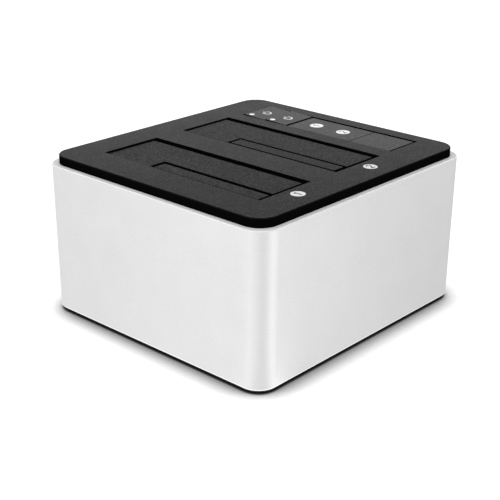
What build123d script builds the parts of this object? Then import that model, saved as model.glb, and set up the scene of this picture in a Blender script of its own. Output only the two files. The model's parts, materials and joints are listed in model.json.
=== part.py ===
from build123d import *
import math
import os

# Two-bay hard drive docking station: aluminium sleeve, black top cover with two sprung bay
# doors, sockets on a board below, rocker power switches in a control strip.
# Millimetres. X runs to the user's right, Y to the rear, Z up. The feet stand on Z = 0.

os.makedirs("parts", exist_ok=True)

# drive bays and what stands round them, from left to right and front to rear
bay_w = 35.7
bay_len = 104.0
side_left = 22.4         # sleeve's left side to the first bay
bay_gap = 18.9           # between the bays
strip_gap = 9.5          # second bay to the control strip
strip_w = 24.1
side_right = 11.7        # control strip to the sleeve's right side
end_gap = 21.3           # sleeve's front or rear side to the bays

# outside sizes
shell_w = side_left + 2 * bay_w + bay_gap + strip_gap + strip_w + side_right     # at its top edge
shell_d = bay_len + 2 * end_gap                                                  # at its top edge
shell_h = 77.2
shell_r = 11.0           # vertical corner radius
shell_wall = 4.0
shell_draft = 0.64       # degrees each side, narrower towards the foot
ring_edge = 0.4          # chamfer round the sleeve's top ring
foot_edge = 0.5          # chamfer round its foot
foot_lift = 2.0          # the sleeve's lower edge above the table
cover_inset = 2.9        # the cover's outline inside the sleeve's
cover_rise = 4.6         # the cover above the sleeve's top ring
cover_t = 2.2            # the cover's roof
cover_r = 10.0
fit = 0.25               # clearance of a part that slides into another

z_foot = 0.0
z_shell = foot_lift
z_ring = z_shell + shell_h
z_top = z_ring + cover_rise
z_roof = z_top - cover_t             # underside of the cover's roof
base_z0 = 0.8
base_floor = 2.0

# bay liners
bay_1 = -shell_w / 2 + side_left
bay_2 = bay_1 + bay_w + bay_gap
bay_left = (bay_1, bay_2)            # left edge of each opening
bay_front = -bay_len / 2
bay_rear = bay_len / 2
bay_wall = 1.8
bay_floor_z = 22.0
bay_floor_t = 2.0
drive_gap = 1.5                      # left wall face to the drive's board face
drive_t = 26.1                       # thickness of a 3.5 inch drive
plug_from_face = 3.5                 # drive's board face to its connector centre
plug_from_front = 30.9               # bay's front wall to the connector centre

# bay doors
door_sink = (0.65, 0.5)              # main doors' top faces below the cover's
small_sink = (0.65, 0.15)            # the second small door stands nearly flush
door_t = 1.8
door_edge = 0.15                     # chamfer of a door's top edges
door_x0 = 1.3                        # door's left edge from the opening's
door_y0 = bay_front + 2.65
door_y1 = bay_rear - 1.4
notch_x = 11.7                       # notch in the main door, from the opening's left edge
notch_y = bay_front + 72.85
small_x0 = 1.7
small_x1 = notch_x - 2.4
small_y1 = notch_y - 2.45
pin_z = z_top - 4.3
pin_r = 0.8
pin_run = 0.05                       # running clearance on the radius
main_pin_in = 3.2                    # main hinge line from the opening's right edge
small_pin_out = 2.75                 # small hinge line outside the opening's left edge
knuckle_r = 1.8
small_knuckle_r = 1.6
tongue_reach = 2.7                   # stop tongue of the main door
tongue_half = 0.7

# control strip
strip_x0 = bay_2 + bay_w + strip_gap
strip_x1 = strip_x0 + strip_w
strip_y0 = bay_front + 0.8
strip_y1 = bay_rear - 1.6
strip_depth = 1.6
pad_t = 3.4                          # cover thickness under the strip's panels
rocker_x0 = strip_x0 + 0.7
rocker_x1 = strip_x1 - 0.4
rocker_len = 14.8
rocker_gap = 0.6
rocker_half = rocker_len / 2
rocker_pitch = rocker_len + rocker_gap
rocker_rear = strip_y1 - 8.4
rocker_y = (rocker_rear, rocker_rear - rocker_pitch)
rocker_h = 3.8                       # top face above the pivot
rocker_t = 1.5
rocker_tilt = 2.2                    # degrees either way from level
rocker_z = z_top - 3.6
rocker_pin_r = 1.0
panel_x0 = strip_x0 + 0.9
panel_x1 = strip_x1 - 1.0
panel_y0 = strip_y0 + 1.6
panel_y1 = rocker_y[1] - 8.6
panel_seam = panel_y1 - 42.1
panel_sink = 0.35
switch_y0 = panel_y1 + 0.6           # front end of the opening in the cover
status_y = (panel_y1 - 11.4, panel_y1 - 29.5)
status_x = strip_x0 + 12.3
status_r = 3.7
number_r = 3.55
number_y = bay_front - 6.6
number_x = (bay_1 + 18.4, bay_2 + 18.4)
led_x = strip_x0 + 3.3
led_dy = 4.1
led_r = 1.5

# inside
board_top = 14.0
board_t = 1.6
board_x = shell_w / 2 - 16.0
board_y0 = -shell_d / 2 + 13.3
board_y1 = shell_d / 2 - 8.8
post_x = shell_w / 2 - 10.5
post_y = shell_d / 2 - 11.3
post_r = 4.0
post_z = 6.5
case_screw_r = 1.45
small_screw_r = 1.0
ear_z = z_top - 9.0
ear_t = 2.5
leg_r = 3.0
control_top = z_top - 14.0
control_t = 1.6
control_x0 = strip_x0 - 6.6
control_x1 = strip_x1 + 6.5
control_y0 = status_y[1] - 7.5
control_y1 = strip_y1 + 2.0
boss_y = bay_rear + 5.0              # screws that hold the bay liners
foot_x = shell_w / 2 - 22.0
foot_y = shell_d / 2 - 22.3


def drawn_in(depth):
    """How far the sleeve's draft draws a side in at a depth below the top ring."""
    return depth * math.tan(math.radians(shell_draft))


def wall_y(z):
    """Outer face of the sleeve's rear wall at height z."""
    return shell_d / 2 - drawn_in(z_ring - z)


draft_shift = drawn_in(shell_h)


def block(x0, x1, y0, y1, z0, z1):
    """A plain box by its limits, as a free part."""
    centre = Pos((x0 + x1) / 2, (y0 + y1) / 2, (z0 + z1) / 2)
    return centre * Box(x1 - x0, y1 - y0, z1 - z0, mode=Mode.PRIVATE)


def rod_y(x, y0, y1, z, r):
    """A cylinder along Y by its ends, as a free part."""
    return Pos(x, (y0 + y1) / 2, z) * Rot(90, 0, 0) * Cylinder(r, y1 - y0, mode=Mode.PRIVATE)


def rod_x(x0, x1, y, z, r):
    """A cylinder along X by its ends, as a free part."""
    return Pos((x0 + x1) / 2, y, z) * Rot(0, 90, 0) * Cylinder(r, x1 - x0, mode=Mode.PRIVATE)


def rod_z(x, y, z0, z1, r):
    """A cylinder along Z by its ends, as a free part."""
    return Pos(x, y, (z0 + z1) / 2) * Cylinder(r, z1 - z0, mode=Mode.PRIVATE)


# rear port panel's place
port_x0 = -40.0
port_x1 = 40.0
port_z0 = 9.0
port_z1 = 33.0
panel_face_y = wall_y(port_z0) - 0.4
panel_back_y = wall_y(port_z0) - shell_wall - 0.25
panel_t = 1.8
panel_rib_y = panel_back_y - panel_t - 0.2

# sleeve: drafted rounded tube with a window for the ports in its rear wall
with BuildPart() as shell:
    # outer face through four outlines: top ring, its chamfer, the foot's chamfer, foot
    for depth, edge in ((0.0, ring_edge), (ring_edge, 0.0), (shell_h - foot_edge, 0.0), (shell_h, foot_edge)):
        inward = drawn_in(depth) + edge
        with BuildSketch(Plane.XY.offset(z_ring - depth)):
            RectangleRounded(shell_w - 2 * inward, shell_d - 2 * inward, shell_r - inward)
    loft(ruled=True)
    for depth in (0.0, shell_h):
        inward = drawn_in(depth) + shell_wall
        with BuildSketch(Plane.XY.offset(z_ring - depth)):
            RectangleRounded(shell_w - 2 * inward, shell_d - 2 * inward, shell_r - inward)
    loft(ruled=True, mode=Mode.SUBTRACT)
    with BuildSketch(Plane.XZ.offset(-shell_d / 2 - 2)):
        with Locations(((port_x0 + port_x1) / 2, (port_z0 + port_z1) / 2)):
            RectangleRounded(port_x1 - port_x0, port_z1 - port_z0, 3.0)
    extrude(amount=14.0, mode=Mode.SUBTRACT)

# top cover: roof, rim, skirt inside the sleeve, posts for the case screws
cover_w = shell_w - 2 * cover_inset
cover_d = shell_d - 2 * cover_inset
skirt_w = shell_w - 2 * shell_wall - 2 * fit
skirt_d = shell_d - 2 * shell_wall - 2 * fit
skirt_r = shell_r - shell_wall - fit
skirt_h = 6.0
skirt_t = 1.8

boss_spots = []
for left in bay_left:
    for dx in (5.0, bay_w - 5.0):
        for y in (-boss_y, boss_y):
            boss_spots.append((left + dx, y))

post_spots = [(sx * post_x, sy * post_y) for sx in (-1, 1) for sy in (-1, 1)]
control_boss_spots = [(x, y) for y in (control_y0 + 3.0, control_y1 - 5.0)
                      for x in (strip_x0 - 3.9, strip_x1 + 3.9)]

with BuildPart() as top_cover:
    with BuildSketch(Plane.XY.offset(z_ring)):
        RectangleRounded(cover_w, cover_d, cover_r)
    extrude(amount=cover_rise)
    chamfer(top_cover.edges().group_by(Axis.Z)[-1], length=0.35)
    with BuildSketch(Plane.XY.offset(z_ring)):
        RectangleRounded(skirt_w, skirt_d, skirt_r)
    extrude(amount=-skirt_h)
    with BuildSketch(Plane.XY.offset(z_ring - skirt_h)):
        RectangleRounded(skirt_w - 2 * skirt_t, skirt_d - 2 * skirt_t, skirt_r - skirt_t)
    extrude(amount=skirt_h + cover_rise - cover_t, mode=Mode.SUBTRACT)
    # thicker floor under the control strip's panels
    add(block(strip_x0 - 1.6, strip_x1 + 1.6, strip_y0 - 1.6, switch_y0, z_top - pad_t, z_roof))
    # bay openings
    for left in bay_left:
        add(block(left, left + bay_w, -bay_len / 2, bay_len / 2, z_roof - 1, z_top + 1),
            mode=Mode.SUBTRACT)
    # control strip recess and the switch opening behind it
    add(block(strip_x0, strip_x1, strip_y0, strip_y1, z_top - strip_depth, z_top + 1), mode=Mode.SUBTRACT)
    add(block(strip_x0, strip_x1, switch_y0, strip_y1, z_top - pad_t - 1, z_top + 1), mode=Mode.SUBTRACT)
    # light pipes of the status discs pass the strip's floor
    for y in status_y:
        add(rod_z(status_x, y, z_top - pad_t - 1, z_top, 2.7), mode=Mode.SUBTRACT)
    # seats of the bay number discs
    for x in number_x:
        add(rod_z(x, number_y, z_top - 1.0, z_top + 1, number_r + 0.05), mode=Mode.SUBTRACT)
    # bosses for the wells, the control board and the case screws
    for x, y in boss_spots:
        add(rod_z(x, y, ear_z, z_roof, 3.0))
        add(rod_z(x, y, ear_z - 1, z_top - 4.0, small_screw_r + 0.05), mode=Mode.SUBTRACT)
    for x, y in control_boss_spots:
        add(rod_z(x, y, control_top, z_roof, 2.4))
        add(rod_z(x, y, control_top - 1, control_top + 6.0, small_screw_r + 0.05), mode=Mode.SUBTRACT)
    for x, y in post_spots:
        add(rod_z(x, y, post_z, z_roof, post_r))
        add(rod_z(x, y, post_z - 1, post_z + 12.0, case_screw_r + 0.05), mode=Mode.SUBTRACT)

# base plate: flange under the sleeve, rim inside it, vents, counterbored screw bosses
base_w = shell_w - 2 * draft_shift - 2 * 1.3
base_d = shell_d - 2 * draft_shift - 2 * 1.3
rim_w = shell_w - 2 * draft_shift - 2 * shell_wall - 2 * fit
rim_d = shell_d - 2 * draft_shift - 2 * shell_wall - 2 * fit
rim_r = 6.0
rim_t = 1.8
rim_h = 3.0
foot_r = 6.0
foot_spots = [(sx * foot_x, sy * foot_y) for sx in (-1, 1) for sy in (-1, 1)]

with BuildPart() as base_plate:
    with BuildSketch(Plane.XY.offset(base_z0)):
        RectangleRounded(base_w, base_d, shell_r - 2.0)
    extrude(amount=z_shell - base_z0)
    chamfer(base_plate.edges().group_by(Axis.Z)[0], length=0.4)
    with BuildSketch(Plane.XY.offset(z_shell)):
        RectangleRounded(rim_w, rim_d, rim_r)
    extrude(amount=rim_h)
    with BuildSketch(Plane.XY.offset(base_z0 + base_floor)):
        RectangleRounded(rim_w - 2 * rim_t, rim_d - 2 * rim_t, rim_r - rim_t)
    extrude(amount=rim_h + 2, mode=Mode.SUBTRACT)
    for x, y in post_spots:
        add(rod_z(x, y, base_z0 + 0.5, post_z, 4.6))
        add(rod_z(x, y, base_z0 - 1, 3.6, 3.2), mode=Mode.SUBTRACT)
        add(rod_z(x, y, 3.0, post_z + 1, case_screw_r + 0.25), mode=Mode.SUBTRACT)
    for x, y in foot_spots:
        add(rod_z(x, y, 0.0, base_z0 + 0.5, foot_r + 0.2), mode=Mode.SUBTRACT)
    # two rows of vent slots
    for row_x in (-22.0, 22.0):
        for k in range(9):
            add(block(row_x - 15, row_x + 15, -33.0 + 8 * k, -31.0 + 8 * k, 0, 5), mode=Mode.SUBTRACT)
    # rib in front of the port panel's foot
    add(block(port_x0, port_x1, panel_rib_y - 1.6, panel_rib_y, base_z0 + 1, z_shell + rim_h + 3.5))

with BuildPart() as feet:
    for x, y in foot_spots:
        add(rod_z(x, y, z_foot, base_z0 + 0.5, foot_r))
    chamfer(feet.edges().group_by(Axis.Z)[0], length=0.3)

with BuildPart() as case_screws:
    for x, y in post_spots:
        add(rod_z(x, y, 1.6, 3.6, 2.75))
        add(rod_z(x, y, 3.4, post_z + 10.0, case_screw_r))
        add(block(x - 1.6, x + 1.6, y - 0.4, y + 0.4, 1.0, 2.3), mode=Mode.SUBTRACT)
        add(block(x - 0.4, x + 0.4, y - 1.6, y + 1.6, 1.0, 2.3), mode=Mode.SUBTRACT)

# rear port panel
usb_x = -22.0
usb_w = 9.0
usb_h = 3.2
usb_z = board_top + usb_h / 2 + 0.1
jack_x = 24.0
jack_z = board_top + 5.6
jack_r = 3.1
lock_x = 2.0

with BuildPart() as rear_panel:
    with BuildSketch(Plane.XZ.offset(-panel_face_y)):
        with Locations(((port_x0 + port_x1) / 2, (port_z0 + port_z1) / 2)):
            RectangleRounded(port_x1 - port_x0 - 2 * fit, port_z1 - port_z0 - 2 * fit, 2.8)
    extrude(amount=panel_face_y - panel_back_y + 0.5)
    add(block(port_x0 - 3, port_x1 + 3, panel_back_y - panel_t, panel_back_y,
              z_shell + rim_h, port_z1 + 3))
    # hollow behind the face, so that the connectors come up to it
    add(block(port_x0 + 3, port_x1 - 3, panel_back_y - 3, panel_face_y - 1.8, board_top - 4, port_z1 - 2.5),
        mode=Mode.SUBTRACT)
    # port openings
    with BuildSketch(Plane.XZ.offset(-panel_face_y - 1)):
        with Locations((usb_x, usb_z)):
            RectangleRounded(usb_w + 0.5, usb_h + 0.5, 1.6)
        with Locations((jack_x, jack_z)):
            Circle(jack_r + 1.2)
        with Locations((lock_x, 17.0)):
            RectangleRounded(7.2, 3.2, 0.8)
    extrude(amount=5.0, mode=Mode.SUBTRACT)
    # vent slots above the ports
    for k in range(17):
        x = -32.0 + 4 * k
        add(block(x - 0.8, x + 0.8, panel_face_y - 5, panel_face_y + 1, 25.5, 30.0), mode=Mode.SUBTRACT)


# bay wells
def hinge_x(left):
    """The main door's hinge line."""
    return left + bay_w - main_pin_in


def small_hinge_x(left):
    """The small door's hinge line."""
    return left - small_pin_out


tongue_spans = ((door_y0 + 6.0, door_y0 + 9.0), (door_y1 - 9.0, door_y1 - 6.0))
leg_spots = [(dx, y) for y in (bay_front + 4.5, bay_rear - 8.0) for dx in (8.0, bay_w - 7.7)]
rib_y = (bay_front + 10.0, -14.0, 14.0, bay_rear - 10.0)
socket_len = 42.4
socket_t = 6.0
socket_top = bay_floor_z + 5.6
socket_y = bay_front + plug_from_front
pocket_deep = small_pin_out + small_knuckle_r + 0.5
pocket_y1 = notch_y - 0.7


def make_well(left):
    """The moulded liner of one bay."""
    right = left + bay_w
    xs = small_hinge_x(left)
    xm = hinge_x(left)
    half = bay_len / 2
    end = half + bay_wall
    well_z0 = bay_floor_z - bay_floor_t
    recess_x = xs + 0.9              # wall behind the small door when it hangs open
    with BuildPart() as well:
        add(block(left - bay_wall, right + bay_wall, -end, end, well_z0, z_roof))
        # thicker left wall that houses the small door and its hinge
        add(block(left - pocket_deep - 1.5, left, -end, pocket_y1 + 3.4, pin_z - 6.2, z_roof))
        add(block(recess_x - 1.8, left, -end, pocket_y1 + 3.4, pin_z - 15.0, pin_z - 6.0))
        add(block(left, right, -half, half, bay_floor_z, z_roof + 1), mode=Mode.SUBTRACT)
        add(block(left - pocket_deep, left + 1, -half, pocket_y1, pin_z - 4.6, z_roof + 1),
            mode=Mode.SUBTRACT)
        add(block(recess_x, left + 1, -half, pocket_y1, pin_z - 13.4, pin_z - 4), mode=Mode.SUBTRACT)
        # stop ledges under the main door's tongues
        for y0, y1 in tongue_spans:
            add(block(xm + 2.1, right + 0.5, y0, y1, pin_z - tongue_half - 3.0, pin_z - tongue_half))
        # guide ribs for the drive, tapered at the top
        for y in rib_y:
            with BuildSketch(Plane.XZ.offset(-y - 1.0)):
                Polygon((left - 0.5, bay_floor_z - 0.5), (left + drive_gap - 0.2, bay_floor_z - 0.5),
                        (left + drive_gap - 0.2, 56.0), (left - 0.5, 63.0), align=None)
            extrude(amount=2.0)
            with BuildSketch(Plane.XZ.offset(-y - 1.0)):
                Polygon((right + 0.5, bay_floor_z - 0.5), (left + drive_gap + drive_t + 0.4, bay_floor_z - 0.5),
                        (left + drive_gap + drive_t + 0.4, 36.0), (right + 0.5, 45.0), align=None)
            extrude(amount=2.0)
        # socket slot in the floor
        sx = left + drive_gap + plug_from_face
        add(block(sx - socket_t / 2 - 0.3, sx + socket_t / 2 + 0.3, socket_y - socket_len / 2 - 0.3,
                  socket_y + socket_len / 2 + 0.3, well_z0 - 1, bay_floor_z + 1), mode=Mode.SUBTRACT)
        # hinge pin bores
        add(rod_y(xm, -end - 1, end + 1, pin_z, pin_r + pin_run), mode=Mode.SUBTRACT)
        add(rod_y(xs, -end - 1, pocket_y1 + 2.4, pin_z, pin_r + pin_run), mode=Mode.SUBTRACT)
        # ears screwed to the cover's bosses
        for dx in (5.0, bay_w - 5.0):
            for sy in (-1, 1):
                y0 = sy * (end - 0.5)
                y1 = sy * (boss_y + 3.3)
                add(block(left + dx - 3.5, left + dx + 3.5, min(y0, y1), max(y0, y1), ear_z - ear_t, ear_z))
                add(rod_z(left + dx, sy * boss_y, ear_z - 5, ear_z + 1, small_screw_r + 0.3),
                    mode=Mode.SUBTRACT)
        # legs down to the board
        for dx, y in leg_spots:
            add(rod_z(left + dx, y, board_top, well_z0 + 0.5, leg_r))
            add(rod_z(left + dx, y, board_top - 1, board_top + 5.5, small_screw_r + 0.05),
                mode=Mode.SUBTRACT)
    return well.part


well_parts = [make_well(left) for left in bay_left]


# main doors
main_knuckles = ((door_y0, door_y0 + 6.0), (-2.0, 4.0), (10.0, 14.0), (door_y1 - 6.0, door_y1))


def make_main_door(left, sink):
    """L-shaped door hinged along the bay's right side, shown shut."""
    xm = hinge_x(left)
    z1 = z_top - sink
    z0 = z1 - door_t
    xr = xm
    xl = left + door_x0
    xn = left + notch_x
    with BuildPart() as door:
        with BuildSketch(Plane.XY.offset(z0)):
            Polygon((xr, door_y0), (xr, door_y1), (xl, door_y1), (xl, notch_y), (xn, notch_y),
                    (xn, door_y0), align=None)
        extrude(amount=door_t)
        fillet(door.edges().filter_by(Axis.Z), radius=0.6)
        chamfer(door.faces().sort_by(Axis.Z)[-1].edges(), length=door_edge)
        # knuckles with a web up to the plate
        for y0, y1 in main_knuckles + tongue_spans:
            add(rod_y(xm, y0, y1, pin_z, knuckle_r))
            add(block(xm - knuckle_r, xr, y0, y1, pin_z, z0 + 0.4))
        for y0, y1 in tongue_spans:
            add(block(xm, xm + tongue_reach, y0, y1, pin_z - tongue_half, pin_z + tongue_half))
        # stiffening ribs under the plate
        for k in range(4):
            y = door_y0 + 13.8 + 18.0 * k
            add(block(xn + 1.5, xm - 1.0, y - 0.6, y + 0.6, z0 - 1.0, z0 + 0.2))
        for y in (notch_y + 7.7, door_y1 - 10.4):
            add(block(xl + 2.0, xm - 1.0, y - 0.6, y + 0.6, z0 - 1.0, z0 + 0.2))
        add(rod_y(xm, door_y0 - 1, door_y1 + 1, pin_z, pin_r + pin_run), mode=Mode.SUBTRACT)
    return door.part


main_doors = [make_main_door(left, sink) for left, sink in zip(bay_left, door_sink)]

# small doors
small_knuckles = ((door_y0 + 0.3, door_y0 + 6.3), (-18.0, -12.0), (small_y1 - 6.3, small_y1 - 0.3))


def make_small_door(left, sink):
    """Narrow door for a thin drive, hinged inside the bay's left wall, shown shut."""
    xs = small_hinge_x(left)
    z1 = z_top - sink
    z0 = z1 - door_t
    rise = z_roof - pin_z
    lip = small_pin_out + small_x0
    plate = z0 - pin_z
    with BuildPart() as door:
        add(block(left + small_x0, left + small_x1, door_y0, small_y1, z0, z1))
        fillet(door.edges().filter_by(Axis.Z), radius=0.5)
        chamfer(door.faces().sort_by(Axis.Z)[-1].edges(), length=door_edge)
        for y0, y1 in small_knuckles:
            add(rod_y(xs, y0, y1, pin_z, small_knuckle_r))
            # cranked arm: its flat top stops against the roof when the door is shut
            with BuildSketch(Plane.XZ.offset(-y1)):
                Polygon((xs, pin_z + rise), (xs + small_pin_out + 0.3, pin_z + rise),
                        (xs + lip, pin_z + plate + 0.5), (xs + 7.0, pin_z + plate + 0.5),
                        (xs + 7.0, pin_z + 1.2), (xs + 2.5, pin_z + 0.6), (xs + 0.8, pin_z - 1.2),
                        (xs, pin_z - 1.2), align=None)
            extrude(amount=y1 - y0)
        add(rod_y(xs, door_y0 - 1, small_y1 + 1, pin_z, pin_r + pin_run), mode=Mode.SUBTRACT)
    return door.part


small_doors = [make_small_door(left, sink) for left, sink in zip(bay_left, small_sink)]

# hinge pins
with BuildPart() as main_pins:
    for left in bay_left:
        end = bay_len / 2 + bay_wall - 0.2
        add(rod_y(hinge_x(left), -end, end, pin_z, pin_r))

with BuildPart() as small_pins:
    for left in bay_left:
        end = bay_len / 2 + bay_wall - 0.2
        add(rod_y(small_hinge_x(left), -end, pocket_y1 + 2.1, pin_z, pin_r))


# torsion springs: coil round the pin, a long leg under the door, a short tail
coil_steps = 10                      # straight runs per turn of a coil
coil_turns = 3
coil_tail = 1.2


def make_spring(x, y0, coil_r, wire_r, side, leg):
    """side is +1 for a door that lies to the right of its hinge, -1 to the left."""
    pitch = 2 * wire_r + 0.15
    steps = coil_turns * coil_steps
    points = [(x + side * leg, y0, pin_z + coil_r)]
    for k in range(steps + 1):
        turn = -side * 2 * math.pi * k / coil_steps
        points.append((x + coil_r * math.sin(turn), y0 + pitch * k / coil_steps, pin_z + coil_r * math.cos(turn)))
    points.append((x - side * coil_tail, y0 + coil_turns * pitch, pin_z + coil_r))
    with BuildPart() as spring:
        with BuildLine() as wire:
            Polyline(*points)
        with BuildSketch(Plane(origin=wire.line @ 0, z_dir=wire.line % 0)):
            RegularPolygon(wire_r, 6)
        sweep(path=wire.line, transition=Transition.RIGHT)
    return spring.part


main_springs = [make_spring(hinge_x(left), 5.0, 1.25, 0.22, -1, 8.0) for left in bay_left]
small_springs = [make_spring(small_hinge_x(left), door_y0 + 9.8, 1.15, 0.2, 1, 6.5) for left in bay_left]


# drive sockets: seven signal and fifteen power contacts, keyed slots, guide towers
def make_socket(left):
    """Upright socket for a drive's blade connector."""
    sx = left + drive_gap + plug_from_face
    y0 = socket_y - socket_len / 2
    y1 = socket_y + socket_len / 2
    with BuildPart() as socket:
        add(block(sx - socket_t / 2, sx + socket_t / 2, y0, y1, board_top, socket_top - 2.0))
        add(block(sx - socket_t / 2 + 0.6, sx + socket_t / 2 - 0.6, y0 + 1.2, y1 - 1.2,
                  socket_top - 2.5, socket_top))
        # L-shaped slots: power to the rear, signal to the front
        add(block(sx - 0.75, sx + 0.75, socket_y - 4.2, socket_y + 17.2, socket_top - 5.0, socket_top + 1),
            mode=Mode.SUBTRACT)
        add(block(sx - 0.75, sx + 1.9, socket_y + 15.8, socket_y + 17.2, socket_top - 5.0, socket_top + 1),
            mode=Mode.SUBTRACT)
        add(block(sx - 0.75, sx + 0.75, socket_y - 17.2, socket_y - 6.6, socket_top - 5.0, socket_top + 1),
            mode=Mode.SUBTRACT)
        add(block(sx - 0.75, sx + 1.9, socket_y - 8.0, socket_y - 6.6, socket_top - 5.0, socket_top + 1),
            mode=Mode.SUBTRACT)
    return socket.part


contact_pitch = 1.27


def make_contacts(left):
    """Spring contacts along one side of the socket's slots."""
    sx = left + drive_gap + plug_from_face
    with BuildPart() as contacts:
        for k in range(15):
            y = socket_y - 2.9 + contact_pitch * k
            add(block(sx - 0.7, sx - 0.35, y - 0.3, y + 0.3, socket_top - 4.9, socket_top - 0.6))
        for k in range(7):
            y = socket_y - 16.2 + contact_pitch * k
            add(block(sx - 0.7, sx - 0.35, y - 0.3, y + 0.3, socket_top - 4.9, socket_top - 0.6))
    return contacts.part


sockets = [make_socket(left) for left in bay_left]
contacts = [make_contacts(left) for left in bay_left]

# main board and what stands on it
leg_screw_spots = [(left + dx, y) for left in bay_left for dx, y in leg_spots]

with BuildPart() as main_board:
    add(block(-board_x, board_x, board_y0, board_y1, board_top - board_t, board_top))
    for x, y in leg_screw_spots:
        add(rod_z(x, y, board_top - 3, board_top + 1, small_screw_r + 0.3), mode=Mode.SUBTRACT)

with BuildPart() as board_screws:
    for x, y in leg_screw_spots:
        add(rod_z(x, y, board_top - board_t - 1.5, board_top - board_t, 2.1))
        add(rod_z(x, y, board_top - board_t - 0.2, board_top + 5.0, small_screw_r))

with BuildPart() as bay_screws:
    for x, y in boss_spots:
        add(rod_z(x, y, ear_z - ear_t - 1.5, ear_z - ear_t, 2.1))
        add(rod_z(x, y, ear_z - ear_t - 0.2, z_top - 4.5, small_screw_r))

aisle_x = bay_2 - 11.5               # middle of the room between the liners

with BuildPart() as board_chips:
    for x, y, w, d, h in ((aisle_x, board_y1 - 24.5, 9.0, 9.0, 1.0),
                          (aisle_x, board_y1 - 56.5, 7.0, 7.0, 0.9),
                          (aisle_x, board_y0 + 26.0, 6.0, 5.0, 1.3),
                          (strip_x0 + 3.5, board_y1 - 34.5, 6.0, 6.0, 1.2)):
        add(block(x - w / 2, x + w / 2, y - d / 2, y + d / 2, board_top, board_top + h))

with BuildPart() as board_capacitors:
    for x, y, r, h in ((strip_x0 + 6.5, board_y1 - 12.5, 4.0, 11.0),
                       (strip_x0 + 6.5, board_y1 - 22.5, 4.0, 11.0),
                       (aisle_x, board_y1 - 40.5, 3.15, 7.0),
                       (strip_x0 - 1.5, board_y1 - 64.5, 3.15, 7.0),
                       (strip_x0 - 1.5, board_y1 - 76.5, 3.15, 7.0)):
        add(rod_z(x, y, board_top, board_top + h, r))
    chamfer(board_capacitors.edges().group_by(Axis.Z)[-1], length=0.5)

with BuildPart() as board_inductors:
    for x, y in ((strip_x0 + 12.5, board_y1 - 44.5), (strip_x0 + 12.5, board_y1 - 58.5),
                 (aisle_x, board_y0 + 42.0)):
        add(block(x - 4, x + 4, y - 4, y + 4, board_top, board_top + 4.5))
    fillet(board_inductors.edges().filter_by(Axis.Z), radius=1.2)

# ports on the board's rear edge
port_end_y = panel_face_y - 0.8

with BuildPart() as usb_port:
    with BuildSketch(Plane.XZ.offset(-port_end_y)):
        with Locations((usb_x, usb_z)):
            RectangleRounded(usb_w, usb_h, 1.4)
    extrude(amount=8.6)
    with BuildSketch(Plane.XZ.offset(-port_end_y)):
        with Locations((usb_x, usb_z)):
            RectangleRounded(usb_w - 0.6, usb_h - 0.6, 1.1)
    extrude(amount=7.6, mode=Mode.SUBTRACT)

with BuildPart() as usb_tongue:
    add(block(usb_x - 3.3, usb_x + 3.3, port_end_y - 7.6, port_end_y - 0.8, usb_z - 0.35, usb_z + 0.35))

with BuildPart() as dc_jack:
    add(block(jack_x - 4.5, jack_x + 4.5, port_end_y - 12.5, port_end_y - 1.5, board_top, board_top + 10.4))
    add(rod_y(jack_x, port_end_y - 3, port_end_y, jack_z, jack_r + 0.9))
    add(rod_y(jack_x, port_end_y - 9.5, port_end_y + 1, jack_z, jack_r - 0.2), mode=Mode.SUBTRACT)

with BuildPart() as dc_pin:
    add(rod_y(jack_x, port_end_y - 9.5, port_end_y - 1.2, jack_z, 1.05))

# control strip: two panels, light windows, number discs
with BuildPart() as status_panel:
    add(block(panel_x0, panel_x1, panel_seam + 0.1, panel_y1, z_top - strip_depth, z_top - panel_sink))
    fillet(status_panel.edges().filter_by(Axis.Z), radius=0.5)
    chamfer(status_panel.faces().sort_by(Axis.Z)[-1].edges(), length=0.2)
    for y in status_y:
        add(rod_z(status_x, y, z_top - strip_depth - 1, z_top + 1, status_r + 0.05), mode=Mode.SUBTRACT)

with BuildPart() as front_panel:
    add(block(panel_x0, panel_x1, panel_y0, panel_seam - 0.1, z_top - strip_depth, z_top - panel_sink))
    fillet(front_panel.edges().filter_by(Axis.Z), radius=0.5)
    chamfer(front_panel.faces().sort_by(Axis.Z)[-1].edges(), length=0.2)

with BuildPart() as status_lenses:
    for y in status_y:
        add(rod_z(status_x, y, z_top - strip_depth, z_top - panel_sink, status_r))
        add(rod_z(status_x, y, control_top + 2.2, z_top - strip_depth + 0.2, 2.4))

with BuildPart() as number_discs:
    for x in number_x:
        add(rod_z(x, number_y, z_top - 1.0, z_top, number_r))

# rocker switches
rocker_mid = (rocker_x0 + rocker_x1) / 2
pivot_x0 = rocker_mid - 6.5
pivot_x1 = rocker_mid + 6.5
saddle_x0 = rocker_mid - 3.4
saddle_x1 = rocker_mid + 3.4


def make_switch_housing(y):
    """Tray under one rocker, with the saddle and its cross pin."""
    half = rocker_pitch / 2
    with BuildPart() as housing:
        add(block(strip_x0 - 1.1, strip_x1 + 1.1, y - half, y + half, control_top, z_roof))
        add(block(strip_x0, strip_x1, y - half + 0.5, y + half - 0.5, control_top + 1.5, z_roof + 1),
            mode=Mode.SUBTRACT)
        add(block(strip_x0, strip_x1, y - half - 1, y + half + 1, rocker_z - 0.6, z_roof + 1),
            mode=Mode.SUBTRACT)
        add(block(saddle_x0, saddle_x1, y - 2.0, y + 2.0, control_top + 1, rocker_z))
        add(rod_x(saddle_x0, saddle_x1, y, rocker_z, 2.0))
        add(rod_x(pivot_x0 - 0.4, pivot_x1 + 0.4, y, rocker_z, rocker_pin_r))
    return housing.part


def seat_rocker(part, y):
    """Turn a piece drawn level about the rocker's pivot into its resting tilt."""
    return Pos(0, y, rocker_z) * Rot(rocker_tilt, 0, 0) * part


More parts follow.
